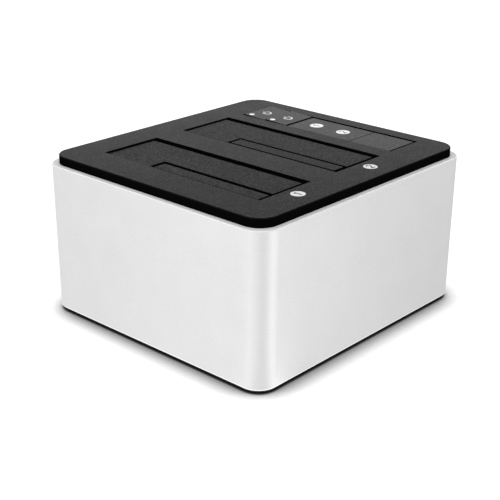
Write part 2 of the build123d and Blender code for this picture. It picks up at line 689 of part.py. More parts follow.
def make_rocker(y):
    """Rocker cap drawn level with its pivot on the X axis, then tilted to rest."""
    with BuildPart() as cap:
        add(block(rocker_x0, rocker_x1, -rocker_half, rocker_half, 0.6, rocker_h))
        fillet(cap.edges().filter_by(Axis.Z), radius=0.5)
        chamfer(cap.faces().sort_by(Axis.Z)[-1].edges(), length=0.15)
        add(block(rocker_x0 + 1, rocker_x1 - 1, -rocker_half + 1, rocker_half - 1, 0, rocker_h - rocker_t),
            mode=Mode.SUBTRACT)
        for x0, x1 in ((pivot_x0, saddle_x0 - 0.3), (saddle_x1 + 0.3, pivot_x1)):
            add(rod_x(x0, x1, 0, 0, 2.2))
            add(block(x0, x1, -2.2, 2.2, 0, rocker_h - rocker_t + 0.3))
        add(rod_x(pivot_x0 - 2, pivot_x1 + 2, 0, 0, rocker_pin_r + pin_run), mode=Mode.SUBTRACT)
        add(rod_z(led_x, led_dy, 0, rocker_h + 1, led_r + 0.05), mode=Mode.SUBTRACT)
    return seat_rocker(cap.part, y)


def make_led_window(y):
    """Round light window in the rocker's rear left corner."""
    with BuildPart() as window:
        add(rod_z(led_x, led_dy, rocker_h - rocker_t - 0.6, rocker_h, led_r))
    return seat_rocker(window.part, y)


housings = [make_switch_housing(y) for y in rocker_y]
rockers = [make_rocker(y) for y in rocker_y]
windows = [make_led_window(y) for y in rocker_y]

# control board under the strip
with BuildPart() as control_board:
    add(block(control_x0, control_x1, control_y0, control_y1, control_top - control_t, control_top))
    fillet(control_board.edges().filter_by(Axis.Z), radius=1.5)
    for x, y in control_boss_spots:
        add(rod_z(x, y, control_top - 3, control_top + 1, small_screw_r + 0.3), mode=Mode.SUBTRACT)

with BuildPart() as control_screws:
    for x, y in control_boss_spots:
        add(rod_z(x, y, control_top - control_t - 1.5, control_top - control_t, 2.1))
        add(rod_z(x, y, control_top - control_t - 0.2, control_top + 5.0, small_screw_r))

with BuildPart() as status_leds:
    for y in status_y:
        add(block(status_x - 1.6, status_x + 1.6, y - 1.4, y + 1.4, control_top, control_top + 1.6))

# ribbon between the two boards, with its plugs
ribbon_x = strip_x0 + 10.8
ribbon_half = 5.0
ribbon_t = 0.8
upper_plug = (control_y0 + 5.0, control_top - control_t - 4.0)
lower_plug = (control_y0 - 1.0, board_top + 5.0)

with BuildPart() as ribbon_plugs:
    add(block(ribbon_x - 7, ribbon_x + 7, upper_plug[0] - 2, upper_plug[0] + 2, upper_plug[1],
              control_top - control_t))
    add(block(ribbon_x - 7, ribbon_x + 7, lower_plug[0] - 2, lower_plug[0] + 2, board_top, lower_plug[1]))

with BuildPart() as ribbon_cable:
    with BuildSketch(Plane.YZ.offset(ribbon_x - ribbon_half)):
        Polygon((upper_plug[0], upper_plug[1]), (upper_plug[0], upper_plug[1] - 8),
                (lower_plug[0], lower_plug[1] + 9), (lower_plug[0], lower_plug[1]),
                (lower_plug[0] + ribbon_t, lower_plug[1]), (lower_plug[0] + ribbon_t, lower_plug[1] + 8.9),
                (upper_plug[0] + ribbon_t, upper_plug[1] - 8.1), (upper_plug[0] + ribbon_t, upper_plug[1]),
                align=None)
    extrude(amount=2 * ribbon_half)

# export
named = {
    "ribbon_plugs": ribbon_plugs.part,
    "ribbon_cable": ribbon_cable.part,
    "shell": shell.part,
    "top_cover": top_cover.part,
    "base_plate": base_plate.part,
    "feet": feet.part,
    "case_screws": case_screws.part,
    "rear_panel": rear_panel.part,
    "main_pins": main_pins.part,
    "small_pins": small_pins.part,
    "main_board": main_board.part,
    "board_screws": board_screws.part,
    "bay_screws": bay_screws.part,
    "board_chips": board_chips.part,
    "board_capacitors": board_capacitors.part,
    "board_inductors": board_inductors.part,
    "usb_port": usb_port.part,
    "usb_tongue": usb_tongue.part,
    "dc_jack": dc_jack.part,
    "dc_pin": dc_pin.part,
    "status_panel": status_panel.part,
    "front_panel": front_panel.part,
    "status_lenses": status_lenses.part,
    "number_discs": number_discs.part,
    "control_board": control_board.part,
    "control_screws": control_screws.part,
    "status_leds": status_leds.part,
}
for k in range(2):
    number = str(k + 1)
    named["bay_well_" + number] = well_parts[k]
    named["main_door_" + number] = main_doors[k]
    named["small_door_" + number] = small_doors[k]
    named["main_spring_" + number] = main_springs[k]
    named["small_spring_" + number] = small_springs[k]
    named["drive_socket_" + number] = sockets[k]
    named["socket_contacts_" + number] = contacts[k]
    named["switch_housing_" + number] = housings[k]
    named["rocker_" + number] = rockers[k]
    named["rocker_window_" + number] = windows[k]

for name, part in named.items():
    part.label = name
    export_step(part, "parts/" + name + ".step")
    box = part.bounding_box()
    print(name, len(part.solids()), [round(v, 2) for v in (*box.min, *box.max)])
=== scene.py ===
"""Looks of a desktop hard drive docking station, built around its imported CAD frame.

The CAD nodes carry the shapes. This script dresses each of them in a procedural finish, adds the
printed digits and power marks, winds smooth springs in place of the faceted ones, and sets up the
studio. It is laid out as an add-on and run as a script. Lengths are metres.
"""

import json
import math

import bmesh
import bpy
import numpy as np
from bpy.props import FloatProperty, FloatVectorProperty, PointerProperty
from mathutils import Matrix, Vector


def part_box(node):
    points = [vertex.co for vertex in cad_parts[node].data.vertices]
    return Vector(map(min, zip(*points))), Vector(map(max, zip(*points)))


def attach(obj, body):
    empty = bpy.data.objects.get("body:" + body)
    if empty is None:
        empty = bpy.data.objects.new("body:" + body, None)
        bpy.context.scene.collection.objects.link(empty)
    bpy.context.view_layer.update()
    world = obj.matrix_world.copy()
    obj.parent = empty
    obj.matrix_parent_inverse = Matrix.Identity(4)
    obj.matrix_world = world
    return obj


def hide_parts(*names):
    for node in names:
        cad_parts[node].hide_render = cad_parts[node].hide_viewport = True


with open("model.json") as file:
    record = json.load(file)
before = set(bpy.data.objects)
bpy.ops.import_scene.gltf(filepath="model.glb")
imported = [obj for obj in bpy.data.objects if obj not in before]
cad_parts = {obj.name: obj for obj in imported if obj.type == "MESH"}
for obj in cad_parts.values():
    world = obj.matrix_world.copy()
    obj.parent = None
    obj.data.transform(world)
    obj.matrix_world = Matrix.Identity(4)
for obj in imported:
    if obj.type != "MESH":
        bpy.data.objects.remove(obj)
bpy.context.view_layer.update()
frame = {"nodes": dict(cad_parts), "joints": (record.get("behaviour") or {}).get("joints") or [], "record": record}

bl_info = {
    "name": "Docking Station Looks",
    "version": (1, 0, 0),
    "blender": (4, 5, 0),
    "location": "View3D > Sidebar > Docking Station",
    "description": "Finishes, printed marks, springs and studio of a hard drive docking station",
    "category": "Object",
}

MM = 0.001
BLACK = (0.0, 0.0, 0.0)
WHITE = (1.0, 1.0, 1.0)
JOINT = {joint["name"]: joint for joint in frame["joints"]}
COVER_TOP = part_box("top_cover")[1].z
SLEEVE_LOW, SLEEVE_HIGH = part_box("shell")

# Depth of the duller ring below the sleeve's top, and height above its foot of a painted highlight
RING_DEPTH = 1.0 * MM
FOOT_HIGHLIGHT = 0.75 * MM
# A level face that lies deeper than these below the cover's top is painted black as shade, not dark grey
SHADE_DEPTHS = (1.35 * MM, 1.05 * MM)

# How deep a printed mark is rooted in its face
INK_ROOT = 0.02 * MM
# A rocker's printed face over its pivot, and the power mark's place along it
ROCKER_FACE = 3.8 * MM
MARK_SHIFT = -0.55 * MM

# Springs as in the CAD: side of the leg, coil radius, leg's length, wire radius of the CAD's coil
SPRINGS = {"main": (-1, 1.25 * MM, 8.0 * MM, 0.22 * MM),
           "small": (1, 1.15 * MM, 6.5 * MM, 0.20 * MM)}
COIL_TURNS = 3
COIL_GAP = 0.15 * MM
COIL_TAIL = 1.2 * MM

# The camera fitted to the object's straight edges: degrees, metres and pixels
CAMERA = {
    "azimuth": -48.3, "elevation": 21.0, "distance": 0.5874, "target": (0.0, 0.0, 0.042),
    "focal_px": 1129.76, "centre_px": (256.99, 226.24), "roll": 0.53, "frame_px": 500,
}

# Lamps: name, azimuth, elevation, distance, width, height, watts
LAMPS = (
    ("top_box", -60, 84, 1.5, 1.4, 1.4, 10.0),
    ("left_strip", -118, 8, 1.2, 0.30, 0.8, 4.5),
    ("right_strip", 35, 8, 1.2, 0.24, 0.8, 4.0),
    ("left_edge", -150, 44, 1.5, 0.2, 0.2, 1.2),
    ("right_edge", 63, 38, 1.5, 0.5, 0.5, 0.35),
)
LAMP_AIM = Vector((0, 0, 0.04))

FLOOR_HALF = 6.0
# Reach of the contact shadow painted on the floor
CONTACT_REACH = 18 * MM
NEAR_CORNER = Vector((-68 * MM, -62 * MM))
# Rays of painted light in the floor's glow from the near corner: azimuth and width in degrees, gain
PAINTED_RAYS = ((-90.0, 22.0, 0.15), (15.0, 26.0, 0.38))


# Settings
def length(name, description, default, least):
    """A length that a user may change."""
    return FloatProperty(name=name, description=description, default=default, min=least,
                         unit="LENGTH")


def paint(name, description, default):
    """A colour that a user may change."""
    return FloatVectorProperty(name=name, description=description, default=default, size=3,
                               subtype="COLOR", min=0, max=1)


class DockSizes(bpy.types.PropertyGroup):
    """Sizes of the printed marks and springs."""

    digit_height: length("Digit height", "Height of the bay digits", 4.3 * MM, MM)
    digit_stroke: length("Digit stroke", "Stroke width of the bay digits", 0.75 * MM, 0.1 * MM)
    print_height: length("Print height", "How far a printed mark stands proud", 0.03 * MM,
                         0.005 * MM)
    mark_radius: length("Power mark radius", "Middle radius of the power mark's arc", 2.2 * MM, MM)
    mark_stroke: length("Power mark stroke", "Stroke width of the power mark", 0.82 * MM, 0.1 * MM)
    wire_radius: length("Spring wire radius", "Radius of the springs' wire", 0.2 * MM, 0.05 * MM)


class DockColours(bpy.types.PropertyGroup):
    """Base colours of the finishes."""

    aluminium: paint("Aluminium", "Anodised sleeve", (0.775, 0.775, 0.777))
    cover: paint("Cover", "Top faces of the cover", (0.0135, 0.0135, 0.0138))
    door: paint("Door", "Top faces of the doors", (0.0060, 0.0060, 0.0062))
    # Painted shade: the side faces of the cover and doors get this near-black colour
    cover_side_shade: paint("Cover side", "Side faces of the cover and doors", (0.0022, 0.0022, 0.0023))
    strip: paint("Control strip", "Panels and rockers", (0.068, 0.068, 0.069))
    disc: paint("Number disc", "White discs of the bay numbers", (0.80, 0.80, 0.795))
    window: paint("Light window", "White light windows", (0.92, 0.92, 0.915))
    board: paint("Board", "Solder mask of the boards", (0.012, 0.085, 0.035))


def sizes():
    """The sizes held by the scene."""
    return bpy.context.scene.dock_sizes


def colours():
    """The colours held by the scene."""
    return bpy.context.scene.dock_colours


# Shader writing
class Value:
    """A shader socket that takes part in Python expressions, each of which adds its Math node."""

    def __init__(self, graph, socket):
        self.graph = graph
        self.socket = socket

    def math(self, operation, *others):
        """One Math node on this value and others."""
        return self.graph.value("ShaderNodeMath", {"operation": operation},
                                dict(enumerate((self,) + others)))

    def reflected(self, operation, other):
        """One Math node on another value and this one, in that order."""
        return self.graph.value("ShaderNodeMath", {"operation": operation}, {0: other, 1: self})

    def __add__(self, other):
        return self.math("ADD", other)

    __radd__ = __add__

    def __sub__(self, other):
        return self.math("SUBTRACT", other)

    def __rsub__(self, other):
        return self.reflected("SUBTRACT", other)

    def __mul__(self, other):
        return self.math("MULTIPLY", other)

    __rmul__ = __mul__

    def __truediv__(self, other):
        return self.math("DIVIDE", other)

    def __rtruediv__(self, other):
        return self.reflected("DIVIDE", other)

    def __gt__(self, other):
        return self.math("GREATER_THAN", other)

    def __lt__(self, other):
        return self.math("LESS_THAN", other)

    def step(self, low, high):
        """Rises smoothly from 0 at low to 1 at high."""
        return self.graph.value("ShaderNodeMapRange", {"interpolation_type": "SMOOTHSTEP"},
                                {"Value": self, "From Min": low, "From Max": high})


class Graph:
    """The node tree of a material or a world, emptied first."""

    def __init__(self, owner, output="ShaderNodeOutputMaterial"):
        self.owner = owner
        self.output = output
        owner.use_nodes = True
        self.tree = owner.node_tree
        self.tree.nodes.clear()

    def node(self, kind, settings=None, inputs=None):
        """Adds a node: its settings first, then a value or link for each of the sockets given."""
        made = self.tree.nodes.new(kind)
        for key, setting in (settings or {}).items():
            setattr(made, key, setting)
        for key, given in (inputs or {}).items():
            if isinstance(given, Value):
                self.tree.links.new(given.socket, made.inputs[key])
            else:
                made.inputs[key].default_value = given
        return made

    def value(self, kind, settings=None, inputs=None, output=0):
        """One named or numbered output of a new node."""
        return Value(self, self.node(kind, settings, inputs).outputs[output])

    def place(self):
        """Object coordinates, which are the row frame at rest."""
        return self.value("ShaderNodeTexCoord", output="Object")

    def upward(self):
        """How far a face looks up, from -1 to 1."""
        return self.split(self.value("ShaderNodeTexCoord", output="Normal"))[2]

    def split(self, vector):
        """The three numbers of a vector."""
        made = self.node("ShaderNodeSeparateXYZ", None, {0: vector})
        return [Value(self, out) for out in made.outputs]

    def noise(self, place, size, detail=2.0, roughness=0.5):
        """Soft noise from 0 to 1 with features of about size metres."""
        return self.value("ShaderNodeTexNoise", None, {
            "Vector": place, "Scale": 1.0 / size, "Detail": detail, "Roughness": roughness}, "Fac")

    def tint(self, factor, dark, light):
        """A colour between two others."""
        dark, light = (colour if isinstance(colour, Value) else (*colour, 1.0)
                       for colour in (dark, light))
        return self.value("ShaderNodeMix", {"data_type": "RGBA"}, {0: factor, 6: dark, 7: light}, 2)

    def bump(self, height, distance, strength):
        """A normal bent by a height from 0 to 1 that stands for distance metres."""
        return self.value("ShaderNodeBump", None,
                          {"Height": height, "Distance": distance, "Strength": strength})

    def surface(self, inputs):
        """A Principled shader with the given sockets."""
        return self.value("ShaderNodeBsdfPrincipled", None, inputs)

    def mixed(self, factor, first, second):
        """A mix of two shaders."""
        return self.value("ShaderNodeMixShader", None, {0: factor, 1: first, 2: second})

    def finish(self, shader):
        """Links the shader to the output and returns the material or world."""
        self.node(self.output, None, {"Surface": shader})
        return self.owner


def new_graph(name):
    """The graph of a new material."""
    return Graph(bpy.data.materials.new(name))


def shade(colour, factor):
    """A colour made darker or lighter by a factor."""
    return tuple(min(1.0, part * factor) for part in colour)


def across(x, y):
    """Distance in plan from the origin towards the far corner."""
    return x * 0.67 + y * 0.74


def from_middle(x, y):
    """Distance in plan from the origin."""
    return (x * x + y * y).math("SQRT")


# Finishes
def finish_aluminium(name, colour, roughness=0.30, grain=0.42 * MM):
    """Bead-blasted and anodised aluminium: fine pits in tone and bump, a faint cloud over them.

    The level ring at the top is blasted duller, and a highlight is painted along the cut edge at the foot as a
    white glow.
    """
    g = new_graph(name)
    place = g.place()
    height = g.split(place)[2]
    ring = g.upward().step(0.15, 0.80) * (height > SLEEVE_HIGH.z - RING_DEPTH)
    # Painted highlight: the lowest band of the sleeve, just above its foot
    edge = height < SLEEVE_LOW.z + FOOT_HIGHLIGHT
    pits = g.noise(place, grain, 3.0, 0.65)
    cloud = g.noise(place, 16 * MM)
    tone = pits * 0.85 + cloud * 0.15
    return g.finish(g.surface({
        "Base Color": g.tint(tone.step(0.25, 0.75), shade(colour, 0.925), shade(colour, 1.06)),
        "Metallic": 0.75 - ring * 0.60,
        "Specular IOR Level": 0.3,
        "Roughness": roughness + ring * 0.25 + (pits - 0.5) * 0.10 + (cloud - 0.5) * 0.03,
        # Painted highlight: the band at the foot glows white
        "Emission Color": g.tint(edge, BLACK, WHITE),
        "Emission Strength": 0.35,
        "Normal": g.bump(pits, 0.012 * MM, 0.5),
    }))


def finish_cover(name, top, side, gloss=0.20, coarse=0.95 * MM, speckle=0.85, painted_light_spread=(0.65, 2.35)):
    """Dark grey spark-eroded top faces; the sides and deep level faces are painted near black as shade, told apart
    by the way a face looks up and how deep it lies.

    The last argument paints light on the top faces: how dark they are at the front left corner and how light at
    the far one.
    """
    g = new_graph(name)
    place = g.place()
    x, y, height = g.split(place)
    deep, shallow = (COVER_TOP - depth for depth in SHADE_DEPTHS)
    # Painted shade: faces that don't look up, and level faces deep below the cover's top, take the near-black body
    unshaded_top = g.upward().step(0.60, 0.95) * height.step(deep, shallow)
    grain = g.noise(place, coarse, 3.0, 0.7)
    tone = grain * 0.85 + g.noise(place, 9 * MM) * 0.15
    # Painted light: the top faces grow lighter towards the far corner
    far = across(x, y).step(-110 * MM, 110 * MM)
    low, high = (g.tint(far, *(shade(top, part * change) for part in painted_light_spread))
                 for change in (1.0 - speckle, 1.0 + speckle))
    skin = g.surface({
        "Base Color": g.tint(tone.step(0.36, 0.64), low, high),
        "Roughness": 0.50 + (grain.step(0.39, 0.61) - 0.5) * 0.32,
        "Specular IOR Level": gloss,
        "Normal": g.bump(grain, 0.10 * MM, 1.0),
    })
    # Painted shade of the sides and deep faces: near black, with no gloss
    body = g.surface({
        "Base Color": g.tint(grain, shade(side, 0.8), shade(side, 1.3)),
        "Roughness": 0.5 + (grain - 0.5) * 0.1,
        "Specular IOR Level": 0.0,
        "Normal": g.bump(grain, 0.008 * MM, 0.3),
    })
    return g.finish(g.mixed(unshaded_top, body, skin))


def finish_plastic(name, colour, roughness, grain, depth=0.012 * MM, gloss=0.4):
    """Moulded plastic or rubber with a fine even grain."""
    g = new_graph(name)
    place = g.place()
    fine = g.noise(place, grain, 3.0, 0.6)
    tone = fine * 0.6 + g.noise(place, 11 * MM) * 0.4
    return g.finish(g.surface({
        "Base Color": g.tint(tone, shade(colour, 0.88), shade(colour, 1.12)),
        "Roughness": roughness + (fine - 0.5) * 0.14,
        "Specular IOR Level": gloss,
        "Normal": g.bump(fine, depth, 0.5),
    }))


def finish_window(name, colour, level=0.10):
    """Milky diffuser: smooth white plastic with a weak glow and a barely seen cloud."""
    g = new_graph(name)
    cloud = g.noise(g.place(), 2.2 * MM)
    glow = g.tint(cloud, shade(colour, 0.96), colour)
    return g.finish(g.surface({
        "Base Color": glow,
        "Roughness": 0.32 + (cloud - 0.5) * 0.08,
        "Emission Color": glow,
        "Emission Strength": level,
    }))


def finish_metal(name, colour, roughness, grain=0.25 * MM, stretch=(1.0, 1.0, 1.0)):
    """Turned or drawn metal, its grain stretched along one axis."""
    g = new_graph(name)
    drawn = g.value("ShaderNodeMapping", None, {"Vector": g.place(), "Scale": stretch})
    lines = g.noise(drawn, grain)
    return g.finish(g.surface({
        "Base Color": g.tint(lines, shade(colour, 0.86), shade(colour, 1.1)),
        "Metallic": 1.0,
        "Roughness": roughness + (lines - 0.5) * 0.16,
        "Normal": g.bump(lines, 0.006 * MM, 0.4),
    }))


def finish_board(name, mask, cell=3.2 * MM, track=2.4 * MM, tin=(0.62, 0.60, 0.56)):
    """Circuit board: solder mask over a maze of raised tracks, with tinned pads here and there."""
    g = new_graph(name)
    place = g.place()
    pads = g.value("ShaderNodeTexVoronoi", None, {
        "Vector": place, "Scale": 1.0 / cell, "Randomness": 0.35}, "Distance") < 0.10
    bars = g.value("ShaderNodeTexBrick", None, {
        "Vector": place, "Scale": 1.0 / track, "Mortar Size": 0.12, "Mortar Smooth": 0.2}, "Fac")
    plain = g.tint(g.noise(place, 0.5 * MM), shade(mask, 0.85), shade(mask, 1.1))
    tracks = g.tint(bars * 0.8, plain, shade(mask, 1.9))
    return g.finish(g.surface({
        "Base Color": g.tint(pads, tracks, tin),
        "Metallic": pads * 0.9,
        "Roughness": 0.32 + pads * 0.08,
        "Normal": g.bump(bars, 0.03 * MM, 0.5),
    }))


def finish_print(name, colour):
    """Screen-printed ink."""
    g = new_graph(name)
    speck = g.noise(g.place(), 0.12 * MM)
    return g.finish(g.surface({
        "Base Color": g.tint(speck, shade(colour, 0.92), shade(colour, 1.04)),
        "Roughness": 0.5 + (speck - 0.5) * 0.1,
    }))


# Surfaces
def mesh_from_grid(name, points, closed=False):
    """A quad mesh from an array of points[u, v, xyz], each joined with its neighbours in u and v.

    A closed one wraps round in v, and one face closes each of its first and last rows.
    """
    rows, cols = points.shape[:2]
    index = np.arange(rows * cols).reshape(rows, cols)
    here, after = index[:-1], index[1:]
    if closed:
        corners = [here, np.roll(here, -1, 1), np.roll(after, -1, 1), after]
    else:
        corners = [here[:, :-1], here[:, 1:], after[:, 1:], after[:, :-1]]
    faces = np.stack(corners, -1).reshape(-1, 4).tolist()
    if closed:
        faces += [index[0][::-1].tolist(), index[-1].tolist()]
    mesh = bpy.data.meshes.new(name)
    mesh.from_pydata(points.reshape(-1, 3).tolist(), [], faces)
    mesh.validate()
    return mesh


def add_piece(name, mesh, material, body, smooth=True):
    """Links a mesh as a piece at the origin that rides on a body, with its finish."""
    mesh.materials.append(material)
    mesh.polygons.foreach_set("use_smooth", np.full(len(mesh.polygons), smooth))
    piece = bpy.data.objects.new(name, mesh)
    bpy.context.scene.collection.objects.link(piece)
    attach(piece, body)
    return piece


def outward(mesh):
    """Merges doubles and turns all faces of a closed mesh outwards."""
    work = bmesh.new()
    work.from_mesh(mesh)
    bmesh.ops.remove_doubles(work, verts=work.verts, dist=1e-7)
    bmesh.ops.recalc_face_normals(work, faces=work.faces)
    work.to_mesh(mesh)
    work.free()
    return mesh


def tangents(path):
    """Unit vectors along a path: the difference of each point's neighbours over its length."""
    tangent = np.gradient(path, axis=0)
    return tangent / np.linalg.norm(tangent, axis=1, keepdims=True)


def ribbon(path, width, low, high):
    """A flat stroke of constant width along a plane path, as a closed slab grid.

    At each path point the side direction is the tangent turned by a quarter; the four corners of
    the section are the point plus or minus half the width along it, at the low and high levels.
    """
    tangent = tangents(path)
    side = np.stack([-tangent[:, 1], tangent[:, 0]], 1) * width / 2
    left, right = path + side, path - side

    def level(plane, z):
        return np.concatenate([plane, np.full((len(plane), 1), z)], 1)

    return np.stack([level(left, low), level(right, low), level(right, high), level(left, high)], 1)


def arc(centre, radius, start, stop, count):
    """Points of a circle's arc between two angles in degrees."""
    angle = np.radians(np.linspace(start, stop, count))
    return np.stack([centre[0] + radius * np.cos(angle), centre[1] + radius * np.sin(angle)], 1)


def digit_paths(digit, height):
    """Centre lines of the strokes of a 1 or a 2, in a box of the given height about the origin.

    The 1 is a stem and a flag. The 2 is an arc that runs on into a straight diagonal, and a foot.
    """
    h = height / 2
    if digit == 1:
        stem = h * np.array([[0.08, -1.0], [0.08, 0.0], [0.08, 1.0]])
        flag = h * np.array([[0.08, 0.93], [-0.2, 0.72], [-0.48, 0.55]])
        return [stem, flag]
    r = 0.52 * h
    top = arc((0.0, h - r), r, 165, -38, 22)
    diagonal = np.linspace(top[-1], (-0.58 * h, -0.94 * h), 6)[1:]
    foot = h * np.array([[-0.66, -0.93], [0.0, -0.93], [0.62, -0.93]])
    return [np.concatenate([top, diagonal]), foot]


def read_points(mesh):
    """A mesh's points as an array."""
    points = np.empty(len(mesh.vertices) * 3)
    mesh.vertices.foreach_get("co", points)
    return points.reshape(-1, 3)


def strokes(name, paths, width, low, high, move, ink, body):
    """One printed piece from several strokes. move maps an array of points into the row frame."""
    meshes = [mesh_from_grid(name, move(ribbon(path, width, low, high)), closed=True)
              for path in paths]
    points = np.concatenate([read_points(mesh) for mesh in meshes])
    faces, shift = [], 0
    for mesh in meshes:
        faces += [[v + shift for v in face.vertices] for face in mesh.polygons]
        shift += len(mesh.vertices)
        bpy.data.meshes.remove(mesh)
    joined = bpy.data.meshes.new(name)
    joined.from_pydata(points.tolist(), [], faces)
    return add_piece(name, outward(joined), FINISH_OF[ink], body, smooth=False)


def tube(path, radius, around=12):
    """A round tube along a path, as a grid.

    The section is a circle in the plane of two directions square to the tangent, found from a
    fixed helper axis, so that it doesn't twist on a path that winds about that axis.
    """
    tangent = tangents(path)
    first = np.cross(tangent, np.array([0.0, 1.0, 0.0]))
    first /= np.linalg.norm(first, axis=1, keepdims=True)
    second = np.cross(tangent, first)
    angle = np.linspace(0, 2 * math.pi, around, endpoint=False)
    ring = np.cos(angle)[:, None] * first[:, None] + np.sin(angle)[:, None] * second[:, None]
    return path[:, None] + radius * ring


def spring_path(pivot, start_y, coil_radius, pitch, turns, side, leg, tail):
    """Leg, coil and tail of a torsion spring round an axis along Y.

    The coil is a helix of the given radius and pitch that starts above the axis; the leg and the
    tail leave it along its tangent.
    """
    turn = np.linspace(0, turns, turns * 32 + 1)
    angle = -side * 2 * math.pi * turn
    coil = np.stack([pivot.x + coil_radius * np.sin(angle), start_y + pitch * turn,
                     pivot.z + coil_radius * np.cos(angle)], 1)

    def straight(start, reach):
        """Points that leave a point along X by the given lengths."""
        return np.stack([start[0] + reach, np.full(len(reach), start[1]),
                         np.full(len(reach), start[2])], 1)

    arm = straight(coil[0], side * np.linspace(leg, leg / 8, 6))
    stub = straight(coil[-1], -side * np.linspace(tail / 4, tail, 4))
    return np.concatenate([arm, coil, stub])


# Operators
FINISH_OF = {}
# Nodes whose finish differs from that of their slot in the record
OWN_FINISH = {
    "main_door_1": "door_skin", "main_door_2": "door_skin",
    "small_door_1": "door_skin", "small_door_2": "door_skin",
    "number_discs": "number_white", "main_pins": "dark_steel", "small_pins": "dark_steel",
}


def build_finishes():
    """Makes every finish once and keeps it under its name. Most are named as the record's slots."""
    c = colours()
    recipes = {
        "anodised_aluminium": (finish_aluminium, c.aluminium),
        "black_cover": (finish_cover, c.cover, c.cover_side_shade),
        "black_plastic": (finish_plastic, (0.012, 0.012, 0.013), 0.5, 0.4 * MM),
        "door_skin": (finish_cover, c.door, c.cover_side_shade),
        "strip_gloss": (finish_cover, c.strip, c.cover_side_shade, 0.16, 1.0 * MM, 0.10, (0.62, 1.40)),
        "white_window": (finish_window, c.window),
        "number_white": (finish_window, c.disc, 0.0),
        "foot_rubber": (finish_plastic, (0.015, 0.015, 0.015), 0.8, 0.6 * MM, 0.03 * MM, 0.25),
        "dark_steel": (finish_metal, (0.10, 0.10, 0.105), 0.36),
        "bright_steel": (finish_metal, (0.60, 0.60, 0.61), 0.24, 0.3 * MM, (1, 0.05, 1)),
        "board_green": (finish_board, c.board),
        "chip_black": (finish_plastic, (0.014, 0.014, 0.015), 0.42, 0.2 * MM),
        "capacitor_can": (finish_metal, (0.62, 0.63, 0.65), 0.3, 0.4 * MM, (1, 1, 0.1)),
        "ribbon_grey": (finish_plastic, (0.30, 0.31, 0.32), 0.45, 0.8 * MM),
        "contact_brass": (finish_metal, (0.80, 0.58, 0.24), 0.25),
        "printed_dark": (finish_print, (0.09, 0.09, 0.095)),
        "printed_grey": (finish_print, (0.36, 0.36, 0.37)),
        "printed_white": (finish_print, (0.86, 0.86, 0.86)),
    }
    for name, (make, *details) in recipes.items():
        FINISH_OF[name] = make(name, *details)


class DOCK_OT_finishes(bpy.types.Operator):
    """Dress every CAD node in its finish"""

    bl_idname = "dock.finishes"
    bl_label = "Dress CAD Nodes"

    def execute(self, context):
        build_finishes()
        slot_of = {part["node"]: part["material_slot"] for part in frame["record"]["subparts"]}
        for name, node in frame["nodes"].items():
            node.data.materials.clear()
            node.data.materials.append(FINISH_OF[OWN_FINISH.get(name, slot_of[name])])
        return {"FINISHED"}


class DOCK_OT_digits(bpy.types.Operator):
    """Print the bay digits on the number discs and the status windows"""

    bl_idname = "dock.digits"
    bl_label = "Bay Digits"

    def execute(self, context):
        low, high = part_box("number_discs")
        radius, middle = (high.y - low.y) / 2, (low.y + high.y) / 2
        self.pair("number_discs", high.z, "printed_dark",
                  ((low.x + radius, middle), (high.x - radius, middle)))
        low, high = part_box("status_lenses")
        radius, middle = (high.x - low.x) / 2, (low.x + high.x) / 2
        self.pair("status_lenses", high.z, "printed_grey",
                  ((middle, high.y - radius), (middle, low.y + radius)))
        return {"FINISHED"}

    def pair(self, node, top, ink, centres):
        """A 1 and a 2 on a node's top face, at two places in plan."""
        s = sizes()
        for digit, centre in enumerate(centres, 1):
            strokes("digit_%s_%d" % (node, digit), digit_paths(digit, s.digit_height),
                    s.digit_stroke, top - INK_ROOT, top + s.print_height,
                    lambda points, shift=(*centre, 0.0): points + np.array(shift), ink, "housing")


class DOCK_OT_power_marks(bpy.types.Operator):
    """Print the power mark on each rocker"""

    bl_idname = "dock.power_marks"
    bl_label = "Power Marks"

    def execute(self, context):
        s = sizes()
        tilt = math.radians(JOINT["rocker_1_pivot"]["range_deg"][1]) / 2
        cos, sin = math.cos(tilt), math.sin(tilt)
        turn = np.array([[1, 0, 0], [0, cos, -sin], [0, sin, cos]])
        ring = arc((0.0, 0.0), s.mark_radius, 128, 412, 40)
        bar = s.mark_radius * np.array([[0.0, 0.45], [0.0, 0.9], [0.0, 1.35]])
        for k in (1, 2):
            pivot = np.array(JOINT["rocker_%d_pivot" % k]["pos_m"])
            strokes("power_mark_%d" % k, [ring, bar], s.mark_stroke,
                    ROCKER_FACE - INK_ROOT, ROCKER_FACE + s.print_height,
                    lambda points, pivot=pivot: (points + (MARK_SHIFT, 0.0, 0.0)) @ turn.T + pivot,
                    "printed_white", "rocker_%d" % k)
        return {"FINISHED"}


class DOCK_OT_springs(bpy.types.Operator):
    """Wind a smooth torsion spring in place of each faceted one"""

    bl_idname = "dock.springs"
    bl_label = "Door Springs"

    def execute(self, context):
        wire = sizes().wire_radius
        for kind, (side, coil_radius, leg, cad_wire) in SPRINGS.items():
            for k in (1, 2):
                node, door = "%s_spring_%d" % (kind, k), "%s_door_%d" % (kind, k)
                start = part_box(node)[0].y + cad_wire
                pivot = Vector(JOINT[door + "_hinge"]["pos_m"])
                path = spring_path(pivot, start, coil_radius, 2 * cad_wire + COIL_GAP, COIL_TURNS,
                                   side, leg, COIL_TAIL)
                coil = outward(mesh_from_grid(node + "_coil", tube(path, wire), closed=True))
                piece = add_piece(node + "_coil", coil, FINISH_OF["bright_steel"], door)
                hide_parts(node)
        return {"FINISHED"}


def direction(azimuth, elevation):
    """Unit vector towards an azimuth, counted from the front, and an elevation, both in radians."""
    return Vector((math.sin(azimuth) * math.cos(elevation),
                   -math.cos(azimuth) * math.cos(elevation), math.sin(elevation)))


